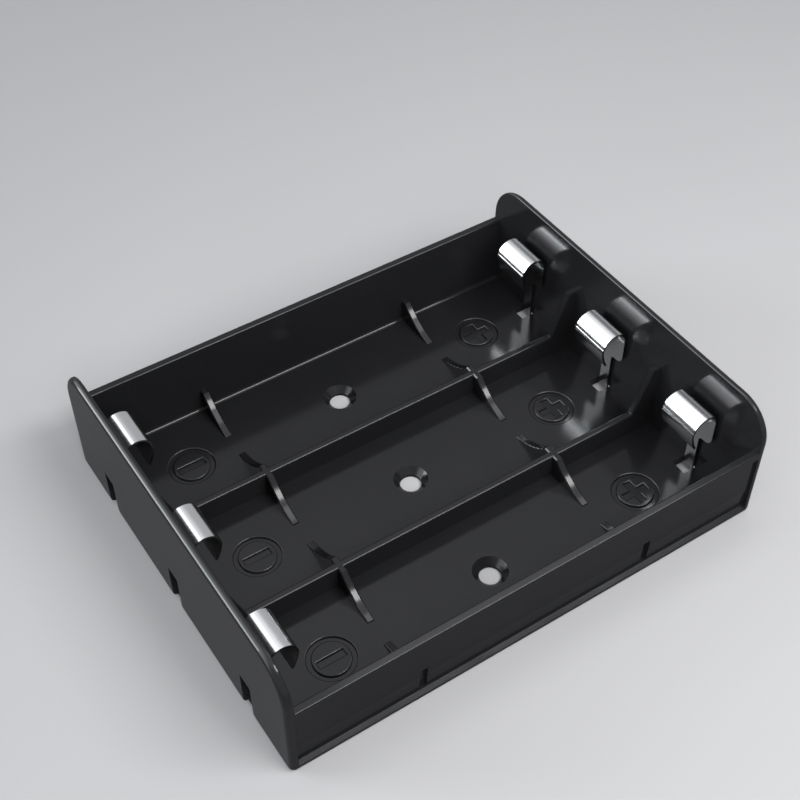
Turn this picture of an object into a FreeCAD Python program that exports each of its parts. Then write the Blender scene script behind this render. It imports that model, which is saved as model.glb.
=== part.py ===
import FreeCAD, Part
import math
import os
import Sketcher

# Battery holder with three bays for cylindrical cells, in millimetres.
# +X runs along the cells to the plus end, Y runs across the bays and +Z points up.
# The origin is the middle of the underside.

SIZES = {
    # The moulded housing
    "outer_length": 83.0,      # over the two end walls
    "bay_pitch": 21.6,         # middle of one bay to the middle of the next
    "bay_edge": 12.0,          # middle of an outer bay to the outside of its long wall
    "floor_thick": 1.5,
    "side_height": 14.3,       # underside to the rim of the long walls
    "side_root": 1.67,         # long wall at the floor, before its panel is sunk
    "end_height": 22.2,        # underside to the top of the end walls
    "end_root": 1.8,           # end wall at the floor
    "end_rim": 1.2,            # end wall at its top
    "corner_rise": 1.6,        # long wall's rim to the start of an end wall's rounded corner
    "foot_corner": 1.1,        # radius along the lower outside edges
    "end_flat": 0.1,           # what the roundings leave flat on top of an end wall
    "rim_round": 0.25,         # rounding of the rims
    "root_round": 0.6,         # inside, where the long walls stand on the floor
    # The sunk panel and the short slots outside each long wall
    "panel_end": 1.2,          # end wall's edge left standing beside the panel
    "panel_sink": 0.4,         # how deep the panel is sunk
    "panel_toe": 0.25,         # how much deeper it is at its foot
    "panel_break": 5.6,        # height where the panel starts to slope in
    "panel_top": 13.1,         # lower edge of the lip along the rim
    "panel_foot": 1.4,         # upper edge of the bead along the base
    "slot_wide": 1.3,
    "slot_base": 2.2,
    "slot_top": 6.9,
    "slot_deep": 0.45,         # beyond the sunk panel
    # Dividers, cradle ribs and gussets
    "divider_height": 5.7,     # underside to the top
    "divider_thick": 1.2,
    "divider_round": 0.3,
    "rib_station": 19.9,       # middle of the holder to the middle of a rib
    "rib_thick": 1.2,
    "rib_edge": 0.2,           # eases the edges of a rib's cap
    "cradle_radius": 12.5,     # hollow of a rib
    "cradle_gap": 2.2,         # middle of the bay to the thin end of a rib
    "gusset_height": 14.0,
    "gusset_foot": 4.3,        # end wall to the foot of the slope
    "gusset_head": 1.2,        # end wall to the top of the slope
    # Screw holes
    "screw_bore": 3.5,
    "screw_head": 5.6,         # across the countersink at the floor
    # Contacts, folded from strip
    "strip_thick": 0.35,
    "contact_width": 7.0,
    "tail_width": 2.0,
    "tail_gap": 0.125,         # strip to the root of the end wall
    "leg_bottom": 7.2,         # the next three are heights above the floor
    "arch_top": 14.75,
    "leaf_end": 8.75,
    "arch_radius": 2.45,       # outside of the arch
    "leaf_crease": 0.3,
    "leaf_over": 0.125,        # how much further into the bay the leaf reaches than the arch
    "leaf_drop": 0.15,         # arch's middle down to where the leaf reaches furthest
    "leaf_bend": 1.2,          # outside of the bend under the crease
    "leaf_turn": 5.0,          # degrees that the bend runs on below its furthest point
    "leaf_radius": 8.0,        # outside of the stretch that meets the cell
    "shoulder": 1.4,           # corner radius where the leg narrows to its tail
    "tail_corner": 0.7,        # inner corner beside the tail
    "foot_bend": 0.6,
    "foot_reach": 1.2,         # how far the foot runs out under the end wall
    # Openings that the contacts pass through
    "contact_play": 0.45,      # each side of the tail in its opening
    "window_long": 2.5,        # from the end wall's root into the bay
    "passage_high": 1.2,       # under the end wall
    "notch_height": 7.2,
    "notch_deep": 1.3,
}

BAYS = {1: 1, 2: 0, 3: -1}     # bay number and its place across, in pitches

# Lengths worked out from the sheet, as expressions
HALF_LENGTH = "Sizes.outer_length / 2"
HALF_WIDTH = "(Sizes.bay_pitch + Sizes.bay_edge)"
ROOT_X = "(Sizes.outer_length / 2 - Sizes.end_root)"
ROOT_Y = "(Sizes.bay_pitch + Sizes.bay_edge - Sizes.side_root)"
DRAFT = "atan((Sizes.end_root - Sizes.end_rim) / (Sizes.end_height - Sizes.floor_thick))"
DIVIDER_Y = "Sizes.bay_pitch / 2"
OPENING_WIDE = "Sizes.tail_width + 2 * Sizes.contact_play"
HALF_STRIP = "Sizes.strip_thick / 2"
LEG_X = f"({ROOT_X} - Sizes.tail_gap - {HALF_STRIP})"
CLEAR = 1.0                    # how far a cut runs on into open air

doc = FreeCAD.newDocument("battery_holder")
sheet = doc.addObject("Spreadsheet::Sheet", "Sizes")


def fill_sheet():
    for row, (alias, size) in enumerate(SIZES.items(), start=1):
        sheet.set(f"A{row}", alias.replace("_", " "))
        sheet.set(f"B{row}", str(size))
        sheet.setAlias(f"B{row}", alias)
    doc.recompute()


def value(expression):
    return float(sheet.evalExpression(expression.replace("Sizes.", "")))


# Sketches and features


def sound(feature):
    """The feature, once it is sure that it has been worked out."""
    doc.recompute()
    if "Invalid" in feature.State or "Error" in feature.State or feature.Shape.isNull():
        raise RuntimeError(f"{feature.Name} failed: {feature.State}")
    return feature


def new_body(name):
    body = doc.addObject("PartDesign::Body", name)
    body.Label = name
    return body


def origin_feature(body, role):
    return next(item for item in body.Origin.OriginFeatures if item.Role == role)


def new_sketch(body, name, role, offset=None):
    sketch = body.newObject("Sketcher::SketchObject", name)
    sketch.AttachmentSupport = (origin_feature(body, role), [""])
    sketch.MapMode = "FlatFace"
    if offset is not None:
        sketch.setExpression("AttachmentOffset.Base.z", offset)
    doc.recompute()
    return sketch


def pin(sketch, curve, end, across, up):
    """Holds one end (or, as 3, the middle) of a curve where two expressions say, or one of them."""
    for kind, expression in (("DistanceX", across), ("DistanceY", up)):
        if expression is None:
            continue
        size = value(expression)
        number = sketch.addConstraint(Sketcher.Constraint(kind, -1, 1, curve, end, size))
        sketch.setExpression(f"Constraints[{number}]", expression)


def bound_radius(sketch, arc, expression):
    number = sketch.addConstraint(Sketcher.Constraint("Radius", arc, value(expression)))
    sketch.setExpression(f"Constraints[{number}]", expression)


def arc_between(sketch, centre, radius, start, stop):
    circle = Part.Circle(centre, FreeCAD.Vector(0, 0, 1), radius)
    return sketch.addGeometry(Part.ArcOfCircle(circle, start, stop))


def outline(sketch, corners):
    """A closed outline of straight lines through corners given as pairs of expressions."""
    points = [FreeCAD.Vector(value(across), value(up), 0) for across, up in corners]
    count = len(points)
    lines = [sketch.addGeometry(Part.LineSegment(points[i], points[(i + 1) % count]))
             for i in range(count)]
    for i in range(count):
        sketch.addConstraint(Sketcher.Constraint("Coincident", lines[i], 2, lines[(i + 1) % count], 1))
    for line, (across, up) in zip(lines, corners):
        pin(sketch, line, 1, across, up)
    return lines


def rectangle(sketch, left, low, right, high):
    return outline(sketch, [(left, low), (right, low), (right, high), (left, high)])


def extrude(body, kind, name, sketch, length, symmetric=False, turned=False):
    feature = body.newObject(kind, name)
    feature.Profile = sketch
    feature.SideType = "Symmetric" if symmetric else "One side"
    feature.Reversed = turned
    feature.setExpression("Length", length)
    sketch.Visibility = False
    return sound(feature)


def pad(body, name, sketch, length, symmetric=False, turned=False):
    return extrude(body, "PartDesign::Pad", name, sketch, length, symmetric, turned)


def pocket(body, name, sketch, length, symmetric=False, turned=False):
    before = body.Tip.Shape.Volume
    feature = extrude(body, "PartDesign::Pocket", name, sketch, length, symmetric, turned)
    if feature.Shape.Volume >= before:
        raise RuntimeError(f"{name} cuts nothing")
    return feature


def repeat_over_bays(body, name, originals):
    """Carries what was cut in bay 3 on to the other two bays."""
    pattern = body.newObject("PartDesign::LinearPattern", name)
    pattern.Originals = originals
    pattern.Direction = (origin_feature(body, "Y_Axis"), [""])
    pattern.setExpression("Length", f"{len(BAYS) - 1} * Sizes.bay_pitch")
    pattern.Occurrences = len(BAYS)
    body.Tip = pattern
    return sound(pattern)


def edges_where(feature, chosen):
    names = []
    for number, edge in enumerate(feature.Shape.Edges, start=1):
        if chosen(edge.BoundBox):
            names.append(f"Edge{number}")
    return names


def rounding(body, name, chosen, radius):
    base = body.Tip
    edges = edges_where(base, chosen)
    if not edges:
        raise RuntimeError(f"{name} finds no edge")
    feature = body.newObject("PartDesign::Fillet", name)
    feature.Base = (base, edges)
    feature.setExpression("Radius", radius)
    return sound(feature)


def near(first, second, slack=0.01):
    return abs(first - second) < slack


# The housing


def build_shell(body):
    """The tray with its two taller end walls, hollowed with a draft that eases it off its mould."""
    length, width = value(HALF_LENGTH), value(HALF_WIDTH)
    top, rim = value("Sizes.end_height"), value("Sizes.side_height")
    inside = length - value("Sizes.end_rim") / 2

    tray = new_sketch(body, "TrayOutline", "XY_Plane")
    rectangle(tray, f"-{HALF_LENGTH}", f"-{HALF_WIDTH}", HALF_LENGTH, HALF_WIDTH)
    pad(body, "Tray", tray, "Sizes.side_height")
    ends = new_sketch(body, "EndSection", "XZ_Plane")
    for sign in (1, -1):
        outside = f"{sign} * {HALF_LENGTH}"
        root = f"{sign} * {ROOT_X}"
        rim_x = f"{sign} * ({HALF_LENGTH} - Sizes.end_rim)"
        outline(ends, [(outside, "0"), (outside, "Sizes.end_height"), (rim_x, "Sizes.end_height"),
                       (root, "Sizes.floor_thick"), (root, "0")])
    pad(body, "EndWalls", ends, f"2 * {HALF_WIDTH}", symmetric=True)

    rounding(body, "EndCorners",
             lambda box: near(box.ZMin, top) and near(abs(box.YMin), width) and near(box.YLength, 0),
             "Sizes.end_height - Sizes.side_height - Sizes.corner_rise")
    rounding(body, "FootCorners",
             lambda box: near(box.ZMax, 0) and near(abs(box.YMin), width) and near(box.YLength, 0),
             "Sizes.foot_corner")
    rounding(body, "EndRounding",
             lambda box: near(abs(box.XMin), length) and near(box.XLength, 0),
             "Sizes.end_rim - Sizes.rim_round - Sizes.end_flat")

    cavity = new_sketch(body, "CavityOutline", "XY_Plane", "Sizes.floor_thick")
    rectangle(cavity, f"-{ROOT_X}", f"-{ROOT_Y}", ROOT_X, ROOT_Y)
    hollow = pocket(body, "Cavity", cavity, f"Sizes.side_height - Sizes.floor_thick + {CLEAR}", turned=True)
    hollow.setExpression("TaperAngle", DRAFT)
    doc.recompute()

    floor, root = value("Sizes.floor_thick"), value(ROOT_Y)
    rounding(body, "RootRounding",
             lambda box: near(box.ZMin, floor) and near(abs(box.YMin), root) and near(box.YLength, 0)
             and near(box.ZLength, 0),
             "Sizes.root_round")
    rounding(body, "RimRounding",
             lambda box: near(box.ZMin, rim) and near(box.ZMax, rim) and near(box.YLength, 0)
             or box.ZMax > rim + 0.01 and box.ZMin > rim - 0.01
             and inside > max(abs(box.XMin), abs(box.XMax)),
             "Sizes.rim_round")


def build_long_walls(body):
    """Panels sunk in the outside of the long walls, with short blind slots behind the ribs."""
    panel = new_sketch(body, "PanelSection", "YZ_Plane")
    for sign in (1, -1):
        face = f"{sign} * {HALF_WIDTH}"
        sunk = f"{sign} * ({HALF_WIDTH} - Sizes.panel_sink)"
        toe = f"{sign} * ({HALF_WIDTH} - Sizes.panel_sink - Sizes.panel_toe)"
        outside = f"{sign} * ({HALF_WIDTH} + {CLEAR})"
        outline(panel, [(outside, "Sizes.panel_top"), (face, "Sizes.panel_top"),
                        (sunk, "Sizes.panel_top - Sizes.panel_sink"), (sunk, "Sizes.panel_break"),
                        (toe, "Sizes.panel_foot + Sizes.panel_sink"), (face, "Sizes.panel_foot"),
                        (outside, "Sizes.panel_foot")])
    pocket(body, "Panels", panel, "Sizes.outer_length - 2 * Sizes.panel_end", symmetric=True)

    for name, sign in (("FarSlots", 1), ("NearSlots", -1)):
        slots = new_sketch(body, f"{name}Outline", "XZ_Plane", f"{-sign} * {HALF_WIDTH}")
        for side in (1, -1):
            middle = f"{side} * Sizes.rib_station"
            rectangle(slots, f"{middle} - Sizes.slot_wide / 2", "Sizes.slot_base",
                      f"{middle} + Sizes.slot_wide / 2", "Sizes.slot_top")
        deep = "Sizes.panel_sink + Sizes.panel_toe + Sizes.slot_deep"
        pocket(body, name, slots, deep, turned=sign > 0)


def build_dividers(body):
    """Two low walls between the bays, each rising at both ends into a gusset that stays the end wall."""
    reach = f"({HALF_LENGTH} - Sizes.end_rim / 2)"
    foot = f"({ROOT_X} - Sizes.gusset_foot)"
    head = f"({ROOT_X} - Sizes.gusset_head)"
    base, low, high = "Sizes.floor_thick / 2", "Sizes.divider_height", "Sizes.gusset_height"
    for name, place in (("FarDivider", 1), ("NearDivider", -1)):
        sketch = new_sketch(body, f"{name}Outline", "XZ_Plane", f"{-place} * {DIVIDER_Y}")
        plus_end = [(foot, low), (head, high), (reach, high), (reach, base)]
        minus_end = [(f"-{across}", up) for across, up in reversed(plus_end)]
        outline(sketch, plus_end + minus_end)
        pad(body, name, sketch, "Sizes.divider_thick", symmetric=True)
    top, pitch = value(low), value("Sizes.bay_pitch")
    rounding(body, "DividerRounding",
             lambda box: box.ZMin > top - 0.01 and box.XLength > 0.5 and near(box.YLength, 0)
             and abs(box.YMin) < pitch,
             "Sizes.divider_round")


def draw_cradle(sketch, bay):
    """What a cell's bay leaves open of a rib: two stretches of one arc and a flat between them.

    The lowest point of the arc would lie on the floor at the bay's middle.
    """
    radius, gap = value("Sizes.cradle_radius"), value("Sizes.cradle_gap")
    drop = value("Sizes.floor_thick + Sizes.cradle_radius - Sizes.divider_height")
    cap_reach = math.sqrt(radius ** 2 - drop ** 2)
    floor, cap, above = "Sizes.floor_thick", "Sizes.divider_height", f"Sizes.divider_height + {CLEAR}"
    middle_z = "Sizes.floor_thick + Sizes.cradle_radius"
    middle = FreeCAD.Vector(value(bay), value(middle_z), 0)
    flat = sketch.addGeometry(Part.LineSegment(FreeCAD.Vector(middle.x - gap, value(floor), 0),
                                               FreeCAD.Vector(middle.x + gap, value(floor), 0)))
    lid = sketch.addGeometry(Part.LineSegment(FreeCAD.Vector(middle.x - cap_reach, value(above), 0),
                                              FreeCAD.Vector(middle.x + cap_reach, value(above), 0)))
    for sign, end in ((-1, 1), (1, 2)):
        turns = sorted(-math.pi / 2 + sign * math.asin(reach / radius) for reach in (gap, cap_reach))
        arc = arc_between(sketch, middle, radius, turns[0], turns[1])
        thin = middle + FreeCAD.Vector(sign * gap, -math.sqrt(radius ** 2 - gap ** 2), 0)
        thick = middle + FreeCAD.Vector(sign * cap_reach, -drop, 0)
        step = sketch.addGeometry(Part.LineSegment(FreeCAD.Vector(thin.x, value(floor), 0), thin))
        rise = sketch.addGeometry(Part.LineSegment(thick, FreeCAD.Vector(thick.x, value(above), 0)))
        thin_end, thick_end = (1, 2) if sign > 0 else (2, 1)
        for first, first_end, second, second_end in (
                (flat, end, step, 1), (step, 2, arc, thin_end),
                (arc, thick_end, rise, 1), (rise, 2, lid, end)):
            sketch.addConstraint(Sketcher.Constraint("Coincident", first, first_end, second, second_end))
        sketch.addConstraint(Sketcher.Constraint("Vertical", step))
        sketch.addConstraint(Sketcher.Constraint("Vertical", rise))
        pin(sketch, arc, 3, bay, middle_z)
        bound_radius(sketch, arc, "Sizes.cradle_radius")
        pin(sketch, arc, thick_end, None, cap)
        pin(sketch, flat, end, f"{bay} + {sign} * Sizes.cradle_gap", floor)
        pin(sketch, lid, end, None, above)
    doc.recompute()


def build_ribs(body):
    """Two ribs right across the tray, hollowed to an arc in every bay so that they cradle the cell."""
    half, edge = "Sizes.rib_thick / 2", "Sizes.rib_edge"
    base, cap = "Sizes.floor_thick / 2", "Sizes.divider_height"
    ribs = new_sketch(body, "RibSection", "XZ_Plane")
    for side in (1, -1):
        left, right = (f"{side} * Sizes.rib_station {way} {half}" for way in "-+")
        outline(ribs, [(left, base), (right, base), (right, f"{cap} - {edge}"), (f"{right} - {edge}", cap),
                       (f"{left} + {edge}", cap), (left, f"{cap} - {edge}")])
    pad(body, "Ribs", ribs, f"2 * {ROOT_Y} + Sizes.side_root / 2", symmetric=True)

    for name, side in (("PlusCradles", 1), ("MinusCradles", -1)):
        hollows = new_sketch(body, f"{name}Outline", "YZ_Plane", f"{side} * Sizes.rib_station")
        for place in BAYS.values():
            draw_cradle(hollows, f"{place} * Sizes.bay_pitch")
        pocket(body, name, hollows, f"Sizes.rib_thick + {CLEAR}", symmetric=True)

    station, face, thin = value("Sizes.rib_station"), value(half), value("Sizes.cradle_gap")
    low = value("Sizes.floor_thick")
    rounding(body, "CradleEdges",
             lambda box: near(box.XLength, 0) and near(abs(abs(box.XMin) - station), face)
             and box.ZMin > low + 0.01 and box.ZLength > 1 and box.YLength > thin,
             "Sizes.rib_edge")


def build_contact_openings(body):
    """Under each contact a window in the floor, a passage under the end wall and a notch outside it."""
    sketch = new_sketch(body, "OpeningSection", "XZ_Plane", "Sizes.bay_pitch")
    for sign in (1, -1):
        window = f"{sign} * ({ROOT_X} - Sizes.window_long)"
        root = f"{sign} * {ROOT_X}"
        notch = f"{sign} * ({HALF_LENGTH} - Sizes.notch_deep)"
        face = f"{sign} * {HALF_LENGTH}"
        outside = f"{sign} * ({HALF_LENGTH} + {CLEAR})"
        above = f"Sizes.floor_thick + {CLEAR}"
        below = f"-{CLEAR}"
        outline(sketch, [(window, below), (window, above), (root, above), (root, "Sizes.passage_high"),
                         (notch, "Sizes.passage_high"), (face, "Sizes.notch_height"),
                         (outside, "Sizes.notch_height"), (outside, below)])
    openings = pocket(body, "Openings", sketch, OPENING_WIDE, symmetric=True)
    repeat_over_bays(body, "OpeningsInEachBay", [openings])


def build_screw_holes(body):
    """One countersunk hole in the middle of each bay."""
    sketch = new_sketch(body, "ScrewHoleSection", "XZ_Plane", "Sizes.bay_pitch")
    bore, head = "Sizes.screw_bore / 2", "Sizes.screw_head / 2"
    above, below = f"Sizes.floor_thick + {CLEAR}", f"-{CLEAR}"
    outline(sketch, [("0", below), (bore, below), (bore, f"Sizes.floor_thick - ({head} - {bore})"),
                     (head, "Sizes.floor_thick"), (head, above), ("0", above)])
    before = body.Tip.Shape.Volume
    hole = body.newObject("PartDesign::Groove", "ScrewHole")
    hole.Profile = sketch
    hole.ReferenceAxis = (sketch, ["V_Axis"])
    hole.Angle = 360
    doc.recompute()
    if hole.Shape.Volume >= before:
        raise RuntimeError("the screw hole cuts nothing")
    repeat_over_bays(body, "ScrewHoleInEachBay", [hole])


# The contacts


def sweep(body, name, section, path):
    feature = body.newObject("PartDesign::AdditivePipe", name)
    feature.Profile = section
    feature.Spine = (path, [f"Edge{number}" for number in range(1, len(path.Geometry) + 1)])
    return sound(feature)


def strip_section(body, name, width):
    """The strip's cross-section where its leg ends, seen from above."""
    section = new_sketch(body, name, "XY_Plane", "Sizes.floor_thick + Sizes.leg_bottom")
    left, right = f"{LEG_X} - {HALF_STRIP}", f"{LEG_X} + {HALF_STRIP}"
    rectangle(section, left, f"-{width} / 2", right, f"{width} / 2")
    return section


def heading(start, stop):
    return math.atan2(stop.y - start.y, stop.x - start.x) % (2 * math.pi)


def draw_leaf_path(sketch):
    """Middle of the strip: up the leg, over the arch, through the crease and down the leaf."""
    leg, floor = value(LEG_X), value("Sizes.floor_thick")
    half, crease = value(HALF_STRIP), value("Sizes.leaf_crease")
    arch, bend = value("Sizes.arch_radius") - half, value("Sizes.leaf_bend") - half
    leaf = value("Sizes.leaf_radius") - half
    arch_z = "Sizes.floor_thick + Sizes.arch_top - Sizes.arch_radius"
    arch_reach = f"({LEG_X} + {HALF_STRIP} - 2 * Sizes.arch_radius)"
    bend_x = f"{arch_reach} - Sizes.leaf_over + Sizes.leaf_bend"
    bend_z = f"{arch_z} - Sizes.leaf_drop"
    way_x, way_z = "cos(Sizes.leaf_turn * 1deg)", "sin(Sizes.leaf_turn * 1deg)"
    leaf_x = f"{bend_x} + (Sizes.leaf_radius - Sizes.leaf_bend) * {way_x}"
    leaf_z = f"{bend_z} + (Sizes.leaf_radius - Sizes.leaf_bend) * {way_z}"
    arch_middle = FreeCAD.Vector(leg - arch, value(arch_z), 0)
    bend_middle = FreeCAD.Vector(value(bend_x), value(bend_z), 0)
    leaf_middle = FreeCAD.Vector(value(leaf_x), value(leaf_z), 0)

    # The crease rests against the outside of both the arch and the bend
    to_arch, to_bend = arch + crease, bend + crease
    span = arch_middle.distanceToPoint(bend_middle)
    lean = math.acos((to_arch ** 2 + span ** 2 - to_bend ** 2) / (2 * to_arch * span))
    turn = heading(arch_middle, bend_middle) - lean
    crease_middle = arch_middle + FreeCAD.Vector(math.cos(turn), math.sin(turn), 0) * to_arch
    leaf_start = heading(leaf_middle, bend_middle)
    leaf_stop = math.pi + math.asin((leaf_middle.y - floor - value("Sizes.leaf_end")) / leaf)

    leg_foot = FreeCAD.Vector(leg, floor + value("Sizes.leg_bottom"), 0)
    line = sketch.addGeometry(Part.LineSegment(leg_foot, FreeCAD.Vector(leg, arch_middle.y, 0)))
    arch_arc = arc_between(sketch, arch_middle, arch, 0, heading(arch_middle, crease_middle))
    crease_arc = arc_between(sketch, crease_middle, crease,
                             heading(crease_middle, bend_middle) - 2 * math.pi,
                             heading(crease_middle, arch_middle) - 2 * math.pi)
    bend_arc = arc_between(sketch, bend_middle, bend, heading(bend_middle, crease_middle), leaf_start)
    leaf_arc = arc_between(sketch, leaf_middle, leaf, leaf_start, leaf_stop)

    pin(sketch, line, 1, LEG_X, "Sizes.floor_thick + Sizes.leg_bottom")
    sketch.addConstraint(Sketcher.Constraint("Vertical", line))
    pin(sketch, arch_arc, 3, None, arch_z)
    bound_radius(sketch, arch_arc, f"Sizes.arch_radius - {HALF_STRIP}")
    bound_radius(sketch, crease_arc, "Sizes.leaf_crease")
    pin(sketch, bend_arc, 3, bend_x, bend_z)
    bound_radius(sketch, bend_arc, f"Sizes.leaf_bend - {HALF_STRIP}")
    pin(sketch, leaf_arc, 3, leaf_x, leaf_z)
    pin(sketch, leaf_arc, 2, None, "Sizes.floor_thick + Sizes.leaf_end")
    for first, first_end, second, second_end in (
            (line, 2, arch_arc, 1), (arch_arc, 2, crease_arc, 2),
            (crease_arc, 1, bend_arc, 1), (bend_arc, 2, leaf_arc, 1)):
        sketch.addConstraint(Sketcher.Constraint("Tangent", first, first_end, second, second_end))
    doc.recompute()


def draw_tail_path(sketch):
    """Middle of the strip: down the tail, round its bend and out along the foot."""
    leg, bend = value(LEG_X), value("Sizes.foot_bend")
    leg_z, foot_z = "Sizes.floor_thick + Sizes.leg_bottom", "Sizes.passage_high / 2"
    toe_x = f"{ROOT_X} + Sizes.foot_reach"
    bend_middle = FreeCAD.Vector(leg + bend, value(foot_z) + bend, 0)
    above = FreeCAD.Vector(leg, bend_middle.y, 0)
    below = FreeCAD.Vector(bend_middle.x, value(foot_z), 0)
    tail = sketch.addGeometry(Part.LineSegment(FreeCAD.Vector(leg, value(leg_z), 0), above))
    bend_arc = arc_between(sketch, bend_middle, bend, math.pi, 1.5 * math.pi)
    foot = sketch.addGeometry(Part.LineSegment(below, FreeCAD.Vector(value(toe_x), value(foot_z), 0)))
    pin(sketch, tail, 1, LEG_X, leg_z)
    sketch.addConstraint(Sketcher.Constraint("Vertical", tail))
    sketch.addConstraint(Sketcher.Constraint("Horizontal", foot))
    bound_radius(sketch, bend_arc, "Sizes.foot_bend")
    pin(sketch, foot, 2, toe_x, foot_z)
    sketch.addConstraint(Sketcher.Constraint("Tangent", tail, 2, bend_arc, 1))
    sketch.addConstraint(Sketcher.Constraint("Tangent", bend_arc, 2, foot, 1))
    doc.recompute()


def build_contact(name, place, turned):
    """One strip, folded: a leaf that meets the cell, an arch, a leg, a tail and a foot."""
    body = new_body(name)
    leaf_path = new_sketch(body, "LeafPath", "XZ_Plane")
    draw_leaf_path(leaf_path)
    sweep(body, "Leaf", strip_section(body, "LegSection", "Sizes.contact_width"), leaf_path)
    tail_path = new_sketch(body, "TailPath", "XZ_Plane")
    draw_tail_path(tail_path)
    sweep(body, "Tail", strip_section(body, "TailSection", "Sizes.tail_width"), tail_path)
    low, half = value("Sizes.floor_thick + Sizes.leg_bottom"), value("Sizes.contact_width / 2")
    rounding(body, "Shoulders",
             lambda box: near(box.ZMin, low) and near(box.ZMax, low) and near(abs(box.YMin), half)
             and near(box.YLength, 0),
             "Sizes.shoulder")
    tail = value("Sizes.tail_width / 2")
    rounding(body, "TailCorners",
             lambda box: near(box.ZMin, low) and near(box.ZMax, low) and near(abs(box.YMin), tail)
             and near(box.YLength, 0),
             "Sizes.tail_corner")
    body.Placement.Rotation = FreeCAD.Rotation(FreeCAD.Vector(0, 0, 1), 180 if turned else 0)
    body.setExpression("Placement.Base.y", f"{place} * Sizes.bay_pitch")
    doc.recompute()
    return body


def check(document):
    for item in document.Objects:
        if "Invalid" in item.State or "Error" in item.State:
            raise RuntimeError(f"{item.Name} failed: {item.State}")


fill_sheet()
housing = new_body("housing")
build_shell(housing)
build_long_walls(housing)
build_dividers(housing)
build_ribs(housing)
build_contact_openings(housing)
build_screw_holes(housing)

pieces = [housing]
for end_name, is_turned in (("plus", False), ("minus", True)):
    for bay_number, bay_place in BAYS.items():
        pieces.append(build_contact(f"contact_{end_name}_{bay_number}", bay_place, is_turned))

doc.recompute()
check(doc)
for piece in pieces:
    shape = piece.Shape
    if shape.isNull() or not shape.isValid() or len(shape.Solids) != 1:
        raise RuntimeError(f"{piece.Label} isn't one sound solid")

os.makedirs("parts", exist_ok=True)
for piece in pieces:
    piece.Shape.exportStep(f"parts/{piece.Label}.step")
    print(piece.Label, f"{piece.Shape.Volume:.1f} mm3", f"{len(piece.Shape.Faces)} faces")
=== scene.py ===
import math

import bpy
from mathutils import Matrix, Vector
from mathutils.kdtree import KDTree


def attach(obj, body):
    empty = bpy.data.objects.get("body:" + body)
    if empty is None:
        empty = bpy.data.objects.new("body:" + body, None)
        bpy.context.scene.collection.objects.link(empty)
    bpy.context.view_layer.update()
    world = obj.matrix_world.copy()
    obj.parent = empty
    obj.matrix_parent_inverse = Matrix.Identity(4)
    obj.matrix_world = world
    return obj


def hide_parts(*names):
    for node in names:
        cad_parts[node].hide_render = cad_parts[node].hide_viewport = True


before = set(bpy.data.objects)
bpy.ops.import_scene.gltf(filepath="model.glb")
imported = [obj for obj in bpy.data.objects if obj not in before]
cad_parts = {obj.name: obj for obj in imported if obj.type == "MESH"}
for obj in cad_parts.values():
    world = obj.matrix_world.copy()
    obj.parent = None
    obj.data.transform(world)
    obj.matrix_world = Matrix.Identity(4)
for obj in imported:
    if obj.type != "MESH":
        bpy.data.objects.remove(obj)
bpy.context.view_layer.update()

bpy.ops.object.select_all(action="DESELECT")

# The polarity signs: a ring round a minus at one end of each bay's floor and round a plus at the
# other. Raised tools in the mould sink them about a third of a millimetre into the plastic and leave
# their upper edges softly rounded. The same tools are modelled here, a set for each bay.
MM = 0.001
FLOOR_TOP = 1.5 * MM
BAY_PITCH = 21.6 * MM
BAYS = {1: 1, 2: 0, 3: -1}
MINUS_X = -27.9 * MM
PLUS_X = 28.2 * MM
SIGN_DEEP = 0.35 * MM
EDGE_ROUND = 0.22 * MM
EDGE_STEPS = 3
RING_RADIUS = 3.7 * MM
RING_WIDE = 0.7 * MM
RING_SIDES = 96
STROKE_WIDE = 1.2 * MM
STROKE_LONG = 4.4 * MM
TOOL_ABOVE = 0.4 * MM
FACING = 0.9


def pick_faces(piece, wanted):
    """Selects the faces that a test on the face's normal and middle lets through."""
    bpy.ops.object.mode_set(mode="OBJECT")
    for vertex in piece.data.vertices:
        vertex.select = False
    for edge in piece.data.edges:
        edge.select = False
    for face in piece.data.polygons:
        face.select = wanted(face.normal, face.center)
    bpy.ops.object.mode_set(mode="EDIT")


def round_then_sink(tool):
    """Narrows the tool's underside along a quarter round, then takes it down to the sign's depth."""
    pick_faces(tool, lambda normal, middle: normal.z < -FACING)
    bpy.ops.mesh.select_mode(type="FACE")
    for step in range(EDGE_STEPS):
        here = math.radians(90 * step / EDGE_STEPS)
        after = math.radians(90 * (step + 1) / EDGE_STEPS)
        narrower = EDGE_ROUND * (math.sin(after) - math.sin(here))
        lower = EDGE_ROUND * (math.cos(here) - math.cos(after))
        bpy.ops.mesh.inset(thickness=narrower, depth=lower)
    still_to_go = SIGN_DEEP - EDGE_ROUND
    bpy.ops.mesh.extrude_region_move(TRANSFORM_OT_translate={"value": (0, 0, -still_to_go)})
    bpy.ops.mesh.select_all(action="SELECT")
    bpy.ops.mesh.normals_make_consistent(inside=False)
    bpy.ops.object.mode_set(mode="OBJECT")


def ring_tool(x):
    bpy.ops.mesh.primitive_circle_add(
        vertices=RING_SIDES, radius=RING_RADIUS + EDGE_ROUND, fill_type="NGON", location=(x, 0, FLOOR_TOP)
    )
    tool = bpy.context.object
    bpy.ops.object.mode_set(mode="EDIT")
    bpy.ops.mesh.inset(thickness=RING_WIDE + 2 * EDGE_ROUND)
    bpy.ops.mesh.delete(type="FACE")
    bpy.ops.mesh.select_all(action="SELECT")
    bpy.ops.mesh.extrude_region_move(TRANSFORM_OT_translate={"value": (0, 0, TOOL_ABOVE)})
    bpy.ops.mesh.select_all(action="SELECT")
    bpy.ops.mesh.normals_make_consistent(inside=False)
    round_then_sink(tool)
    return tool


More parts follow.
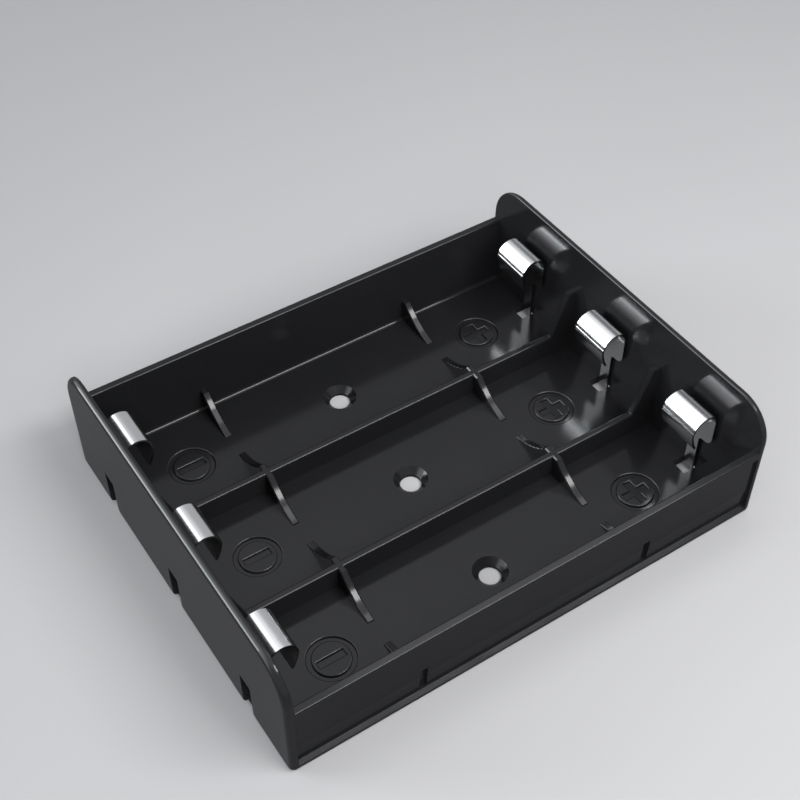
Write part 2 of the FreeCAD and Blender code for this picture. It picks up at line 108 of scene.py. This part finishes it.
def stroke_tool(x, crossed):
    """A straight stroke, or two crossed ones drawn out of the block where they meet."""
    bpy.ops.mesh.primitive_cube_add(size=1, location=(x, 0, FLOOR_TOP + TOOL_ABOVE / 2))
    tool = bpy.context.object
    wide = STROKE_WIDE + 2 * EDGE_ROUND
    near_its_line = wide / 4
    tool.scale = (wide, wide, TOOL_ABOVE)
    bpy.ops.object.transform_apply(location=False, rotation=False, scale=True)
    reach = (STROKE_LONG - STROKE_WIDE) / 2
    ways = [Vector((1, 0, 0)), Vector((-1, 0, 0))]
    if crossed:
        ways += [Vector((0, 1, 0)), Vector((0, -1, 0))]
    for way in ways:
        pick_faces(
            tool,
            lambda normal, middle: normal.dot(way) > FACING and middle.cross(way).length < near_its_line,
        )
        bpy.ops.mesh.extrude_region_move(TRANSFORM_OT_translate={"value": way * reach})
    round_then_sink(tool)
    return tool


def join(pieces):
    bpy.ops.object.select_all(action="DESELECT")
    for piece in pieces:
        piece.select_set(True)
    bpy.context.view_layer.objects.active = pieces[0]
    bpy.ops.object.join()
    bpy.ops.object.transform_apply(location=True, rotation=True, scale=True)
    return bpy.context.object


one_bays_tools = join(
    [ring_tool(MINUS_X), ring_tool(PLUS_X), stroke_tool(MINUS_X, False), stroke_tool(PLUS_X, True)]
)
bay_tools = [one_bays_tools]
for place in BAYS.values():
    if place != 0:
        again = one_bays_tools.copy()
        again.data = one_bays_tools.data.copy()
        bpy.context.collection.objects.link(again)
        again.location.y = place * BAY_PITCH
        bay_tools.append(again)
sign_tools = join(bay_tools)

# The housing: the tray for the three cells, moulded in one piece of black ABS. Its mould is
# polished, so the plastic mirrors the contacts softly. The plain moulding is copied, and the signs'
# tools are pressed into the copy's floor.
WELD = 0.001 * MM
SMOOTH_UNDER = math.radians(35)
FACE_WEIGHT = 50
LEVEL = 0.9999


def apply_modifier(piece, kind, **settings):
    """Adds a modifier with the settings named and applies it."""
    bpy.ops.object.select_all(action="DESELECT")
    piece.select_set(True)
    bpy.context.view_layer.objects.active = piece
    modifier = piece.modifiers.new(kind.lower(), kind)
    for setting, value in settings.items():
        setattr(modifier, setting, value)
    bpy.ops.object.modifier_apply(modifier=modifier.name)


plain_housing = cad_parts["housing"]
housing = bpy.data.objects.new("housing_with_signs", plain_housing.data.copy())
housing.data.name = housing.name
bpy.context.collection.objects.link(housing)
bpy.ops.object.select_all(action="DESELECT")
housing.select_set(True)
bpy.context.view_layer.objects.active = housing
bpy.ops.object.mode_set(mode="EDIT")
bpy.ops.mesh.select_all(action="SELECT")
bpy.ops.mesh.remove_doubles(threshold=WELD)
bpy.ops.mesh.customdata_custom_splitnormals_clear()
bpy.ops.object.mode_set(mode="OBJECT")
apply_modifier(housing, "BOOLEAN", operation="DIFFERENCE", solver="MANIFOLD", object=sign_tools)
bpy.data.objects.remove(sign_tools)
bpy.ops.object.shade_smooth_by_angle(angle=SMOOTH_UNDER)
apply_modifier(housing, "WEIGHTED_NORMAL", mode="FACE_AREA", weight=FACE_WEIGHT, keep_sharp=True)

# The moulding's own surfaces are shaded as before the cut: a face's corner takes its normal from the
# plain housing, at the same spot and on the side that faces the same way. The bays' floor is level.
plain_mesh = plain_housing.data
corners_by_place = KDTree(len(plain_mesh.loops))
face_of_corner = {}
for face in plain_mesh.polygons:
    for corner in face.loop_indices:
        corners_by_place.insert(plain_mesh.vertices[plain_mesh.loops[corner].vertex_index].co, corner)
        face_of_corner[corner] = face.normal.copy()
corners_by_place.balance()

normals = [corner.vector.copy() for corner in housing.data.corner_normals]
for face in housing.data.polygons:
    on_floor = face.normal.z > LEVEL and abs(face.center.z - FLOOR_TOP) < WELD
    for corner in face.loop_indices:
        spot = housing.data.vertices[housing.data.loops[corner].vertex_index].co
        same_spot = corners_by_place.find_range(spot, WELD)
        if on_floor:
            normals[corner] = Vector((0, 0, 1))
        elif same_spot:
            likest = max(same_spot, key=lambda found: face_of_corner[found[1]].dot(face.normal))
            normals[corner] = plain_mesh.corner_normals[likest[1]].vector.copy()
    face.material_index = 0
housing.data.normals_split_custom_set(normals)
housing.data.materials.clear()
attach(housing, "tray")
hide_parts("housing")

# The plastic has a very fine grain, and slight changes of tone and gloss where the melt flowed.
PLASTIC_BLACK = (0.0130, 0.0132, 0.0146, 1.0)
PLASTIC_GREY = (0.0155, 0.0157, 0.0172, 1.0)
PLASTIC_SHINE = 0.40
PLASTIC_ROUGHNESS = (0.12, 0.16)
FLOWS_PER_METRE = 160.0
FLOW_DETAIL = 3.0
GRAINS_PER_METRE = 5200.0
GRAIN_DETAIL = 2.0
GRAIN_DEPTH = 0.004 * MM
GRAIN_STRENGTH = 0.2
NOISE_MOSTLY = (0.3, 0.7)


def new_finish(name):
    finish = bpy.data.materials.new(name)
    finish.use_nodes = True
    nodes = finish.node_tree.nodes
    shader = nodes["Principled BSDF"]
    place = nodes.new("ShaderNodeTexCoord")
    return finish, nodes, finish.node_tree.links, shader, place.outputs["Object"]


def noise_over(nodes, links, place, scale, detail, name):
    noise = nodes.new("ShaderNodeTexNoise")
    noise.name = name
    noise.inputs["Scale"].default_value = scale
    noise.inputs["Detail"].default_value = detail
    links.new(place, noise.inputs["Vector"])
    return noise.outputs["Fac"]


def vary_roughness(nodes, links, shader, noise, smoothest_and_dullest):
    reach = nodes.new("ShaderNodeMapRange")
    reach.inputs["From Min"].default_value, reach.inputs["From Max"].default_value = NOISE_MOSTLY
    reach.inputs["To Min"].default_value, reach.inputs["To Max"].default_value = smoothest_and_dullest
    links.new(noise, reach.inputs["Value"])
    links.new(reach.outputs["Result"], shader.inputs["Roughness"])


def fine_relief(nodes, links, shader, height, depth, strength):
    bump = nodes.new("ShaderNodeBump")
    bump.inputs["Distance"].default_value = depth
    bump.inputs["Strength"].default_value = strength
    links.new(height, bump.inputs["Height"])
    links.new(bump.outputs["Normal"], shader.inputs["Normal"])


def moulded_black_plastic():
    finish, nodes, links, shader, place = new_finish("moulded_black_plastic")
    shader.inputs["Specular IOR Level"].default_value = PLASTIC_SHINE
    flow = noise_over(nodes, links, place, FLOWS_PER_METRE, FLOW_DETAIL, "melt_flow")
    tone = nodes.new("ShaderNodeMix")
    tone.data_type = "RGBA"
    tone.inputs["A"].default_value = PLASTIC_BLACK
    tone.inputs["B"].default_value = PLASTIC_GREY
    links.new(flow, tone.inputs["Factor"])
    links.new(tone.outputs["Result"], shader.inputs["Base Color"])
    vary_roughness(nodes, links, shader, flow, PLASTIC_ROUGHNESS)
    grain = noise_over(nodes, links, place, GRAINS_PER_METRE, GRAIN_DETAIL, "mould_grain")
    fine_relief(nodes, links, shader, grain, GRAIN_DEPTH, GRAIN_STRENGTH)
    return finish


housing.data.materials.append(moulded_black_plastic())

# The six contacts: spring strip, nickel plated, cut out flat and folded cold. Each stands by its
# tail in an opening in the floor. The plating is bright with a satin sheen, and keeps faint lines
# from the strip's rolling.
NICKEL = (0.93, 0.93, 0.935, 1.0)
NICKEL_ROUGHNESS = (0.19, 0.25)
ROLLING_LINES_PER_METRE = (300.0, 9000.0, 300.0)
LINES_AS_STRETCHED = 1.0
LINE_DETAIL = 2.0
LINE_DEPTH = 0.001 * MM
LINE_STRENGTH = 0.12


def bright_nickel():
    finish, nodes, links, shader, place = new_finish("bright_nickel")
    shader.inputs["Base Color"].default_value = NICKEL
    shader.inputs["Metallic"].default_value = 1.0
    along = nodes.new("ShaderNodeMapping")
    along.inputs["Scale"].default_value = ROLLING_LINES_PER_METRE
    links.new(place, along.inputs["Vector"])
    stretched = along.outputs["Vector"]
    lines = noise_over(nodes, links, stretched, LINES_AS_STRETCHED, LINE_DETAIL, "rolling_lines")
    vary_roughness(nodes, links, shader, lines, NICKEL_ROUGHNESS)
    fine_relief(nodes, links, shader, lines, LINE_DEPTH, LINE_STRENGTH)
    return finish


nickel = bright_nickel()
for end in ("plus", "minus"):
    for number in BAYS:
        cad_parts[f"contact_{end}_{number}"].material_slots[0].material = nickel

# The floor: a plain pale studio surface, which isn't part of the holder and lies a hair below it.
# Away from the holder it goes over into the backdrop's own pale tone, so that it has no end.
FLOOR_WIDE = 6.0
FLOOR_BELOW = 0.05 * MM
FLOOR_PALE = (0.54, 0.54, 0.55, 1.0)
FLOOR_ROUGHNESS = 0.7
FLOOR_SHINE = 0.1
FLOOR_FADES_FROM = 200.0 * MM
FLOOR_FADES_TO = 450.0 * MM
BACKDROP_PALE = 0.54


def node_math(tree, operation, first, second):
    node = tree.nodes.new("ShaderNodeMath")
    node.operation = operation
    for socket, source in zip(node.inputs, (first, second)):
        if isinstance(source, (int, float)):
            socket.default_value = source
        else:
            tree.links.new(source, socket)
    return node.outputs["Value"]


def softly_between(tree, source, start, end, low, high):
    node = tree.nodes.new("ShaderNodeMapRange")
    node.interpolation_type = "SMOOTHSTEP"
    node.inputs["From Min"].default_value = start
    node.inputs["From Max"].default_value = end
    node.inputs["To Min"].default_value = low
    node.inputs["To Max"].default_value = high
    tree.links.new(source, node.inputs["Value"])
    return node.outputs["Result"]


def seen_directly_or_mirrored(tree):
    ray = tree.nodes.new("ShaderNodeLightPath")
    seen = node_math(tree, "MAXIMUM", ray.outputs["Is Camera Ray"], ray.outputs["Is Glossy Ray"])
    return node_math(tree, "MAXIMUM", seen, ray.outputs["Is Transmission Ray"])


bpy.ops.mesh.primitive_plane_add(size=FLOOR_WIDE, location=(0, 0, -FLOOR_BELOW))
studio_floor = bpy.context.object
studio_floor.name = "studio_floor"
pale = bpy.data.materials.new("pale_floor")
pale.use_nodes = True
floor_tree = pale.node_tree
matt = floor_tree.nodes["Principled BSDF"]
matt.inputs["Base Color"].default_value = FLOOR_PALE
matt.inputs["Roughness"].default_value = FLOOR_ROUGHNESS
matt.inputs["Specular IOR Level"].default_value = FLOOR_SHINE
studio_floor.data.materials.append(pale)

floor_place = floor_tree.nodes.new("ShaderNodeTexCoord")
from_middle = floor_tree.nodes.new("ShaderNodeVectorMath")
from_middle.operation = "LENGTH"
floor_tree.links.new(floor_place.outputs["Object"], from_middle.inputs[0])
fading = softly_between(floor_tree, from_middle.outputs["Value"], FLOOR_FADES_FROM, FLOOR_FADES_TO, 0.0, 1.0)
plain_tone = floor_tree.nodes.new("ShaderNodeEmission")
plain_tone.inputs["Strength"].default_value = BACKDROP_PALE
two_floors = floor_tree.nodes.new("ShaderNodeMixShader")
floor_share = node_math(floor_tree, "MULTIPLY", fading, seen_directly_or_mirrored(floor_tree))
floor_tree.links.new(floor_share, two_floors.inputs["Fac"])
floor_tree.links.new(matt.outputs["BSDF"], two_floors.inputs[1])
floor_tree.links.new(plain_tone.outputs["Emission"], two_floors.inputs[2])
floor_tree.links.new(two_floors.outputs["Shader"], floor_tree.nodes["Material Output"].inputs["Surface"])

# The lamps: a low softbox at the back left, a long strip lamp above the front and a small panel
# right overhead, which the plastic and the nickel mirror, and two fills, which they don't.
# Places and sizes are in millimetres, brightness in watts per square metre and steradian.
SOFTBOX = {"middle": (-708.0, 554.0, 230.0), "aim": (0.0, 0.0, 8.0), "size": (380.0, 440.0), "bright": 7.0}
STRIP = {"middle": (105.0, -168.5, 282.5), "aim": (105.0, 0.0, 114.0), "size": (210.0, 83.0), "bright": 12.0}
PANEL = {"middle": (42.5, -1.0, 110.0), "aim": (42.5, -1.0, 0.0), "size": (95.0, 38.0), "bright": 2.0}
FRONT = {"middle": (-60.0, -420.0, 400.0), "aim": (0.0, 0.0, 0.0), "size": (400.0, 250.0), "bright": 5.0}
SIDE = {"middle": (-886.0, -410.0, 208.0), "aim": (0.0, 0.0, 0.0), "size": (700.0, 300.0), "bright": 7.0}
SOFTBOX_TINT = (0.90, 0.97, 1.0)
MIRRORED_ONCE_AT_MOST = 1.5


def studio_lamp(name, setting):
    """A flat lamp, hidden from the camera, that lights only the first surface its light meets."""
    lamp = bpy.data.lights.new(name, "AREA")
    lamp.shape = "RECTANGLE"
    wide, high = setting["size"]
    lamp.size = wide * MM
    lamp.size_y = high * MM
    lamp.energy = setting["bright"] * math.pi * lamp.size * lamp.size_y
    holder = bpy.data.objects.new(name, lamp)
    middle = Vector(setting["middle"]) * MM
    aim = Vector(setting["aim"]) * MM
    holder.location = middle
    holder.rotation_euler = (middle - aim).to_track_quat("Z", "Y").to_euler()
    holder.visible_camera = False
    lamp.cycles.max_bounces = 0
    bpy.context.collection.objects.link(holder)
    return holder


softbox = studio_lamp("back_left_softbox", SOFTBOX)
softbox.data.color = SOFTBOX_TINT
strip = studio_lamp("front_strip_lamp", STRIP)
studio_lamp("overhead_panel", PANEL)
for fill_name, setting in (("front_fill", FRONT), ("side_fill", SIDE)):
    fill = studio_lamp(fill_name, setting)
    fill.visible_glossy = False

# The strip lamp shows in what faces it, and not once more in what mirrors that.
strip.data.use_nodes = True
glow_nodes = strip.data.node_tree.nodes
glow_links = strip.data.node_tree.links
mirrored = glow_nodes.new("ShaderNodeLightPath")
once = glow_nodes.new("ShaderNodeMath")
once.operation = "LESS_THAN"
once.inputs[1].default_value = MIRRORED_ONCE_AT_MOST
glow_links.new(mirrored.outputs["Glossy Depth"], once.inputs[0])
glow_links.new(once.outputs["Value"], glow_nodes["Emission"].inputs["Strength"])

# The room: pale all round, lighter above and towards the back left, and a plain backdrop where the
# camera looks at it. Matt surfaces get a share of its light, and glossy ones mirror all of it.
ROOM_LOW = 0.38
ROOM_HIGH = 1.1
SINE_WHERE_IT_LIGHTENS = 0.69
SINE_WHERE_IT_IS_LIGHT = 0.93
LIGHT_SIDE = Vector((-0.72, 0.57, 0.40))
LIGHT_SIDE_ADDS = 2.6
COSINE_WHERE_IT_ADDS = 0.62
COSINE_WHERE_IT_ADDS_ALL = 0.98
LIGHT_ON_MATT_SURFACES = 0.25
ROOM_TINT = (0.985, 1.0, 1.035, 1.0)

room = bpy.data.worlds.new("pale_room")
bpy.context.scene.world = room
room.use_nodes = True
room_tree = room.node_tree
way = room_tree.nodes.new("ShaderNodeTexCoord").outputs["Generated"]
split_way = room_tree.nodes.new("ShaderNodeSeparateXYZ")
room_tree.links.new(way, split_way.inputs["Vector"])
to_light_side = room_tree.nodes.new("ShaderNodeVectorMath")
to_light_side.operation = "DOT_PRODUCT"
to_light_side.inputs[1].default_value = LIGHT_SIDE.normalized()
room_tree.links.new(way, to_light_side.inputs[0])

by_height = softly_between(
    room_tree, split_way.outputs["Z"], SINE_WHERE_IT_LIGHTENS, SINE_WHERE_IT_IS_LIGHT, ROOM_LOW, ROOM_HIGH
)
nearness = to_light_side.outputs["Value"]
by_side = softly_between(
    room_tree, nearness, COSINE_WHERE_IT_ADDS, COSINE_WHERE_IT_ADDS_ALL, 0.0, LIGHT_SIDE_ADDS
)
mirrored_room = node_math(room_tree, "ADD", by_height, by_side)
seen_sharply = seen_directly_or_mirrored(room_tree)
share = softly_between(room_tree, seen_sharply, 0.0, 1.0, LIGHT_ON_MATT_SURFACES, 1.0)
room_light = node_math(room_tree, "MULTIPLY", mirrored_room, share)
straight = room_tree.nodes.new("ShaderNodeLightPath")
backdrop_or_room = room_tree.nodes.new("ShaderNodeMix")
backdrop_or_room.inputs["B"].default_value = BACKDROP_PALE
room_tree.links.new(straight.outputs["Is Camera Ray"], backdrop_or_room.inputs["Factor"])
room_tree.links.new(room_light, backdrop_or_room.inputs["A"])
room_tree.links.new(backdrop_or_room.outputs["Result"], room_tree.nodes["Background"].inputs["Strength"])
room_tree.nodes["Background"].inputs["Color"].default_value = ROOM_TINT

# The camera stands where the photograph was taken from: at the minus end and the near long
# wall, looking down at 47 degrees.
CAMERA_PLACE = Vector((-78.76, -116.86, 168.87)) * MM
CAMERA_AIM = Vector((8.82, 16.59, 0.0)) * MM
LENS_IN_MM = 61.7
FILM_WIDE_IN_MM = 36.0
NEAREST_SEEN = 10.0 * MM
FARTHEST_SEEN = 20.0

lens = bpy.data.cameras.new("photo_camera")
lens.lens = LENS_IN_MM
lens.sensor_width = FILM_WIDE_IN_MM
lens.clip_start = NEAREST_SEEN
lens.clip_end = FARTHEST_SEEN
camera = bpy.data.objects.new("photo_camera", lens)
camera.location = CAMERA_PLACE
camera.rotation_euler = (CAMERA_AIM - CAMERA_PLACE).to_track_quat("-Z", "Y").to_euler()
bpy.context.collection.objects.link(camera)
bpy.context.scene.camera = camera
bpy.context.scene.view_settings.view_transform = "Standard"
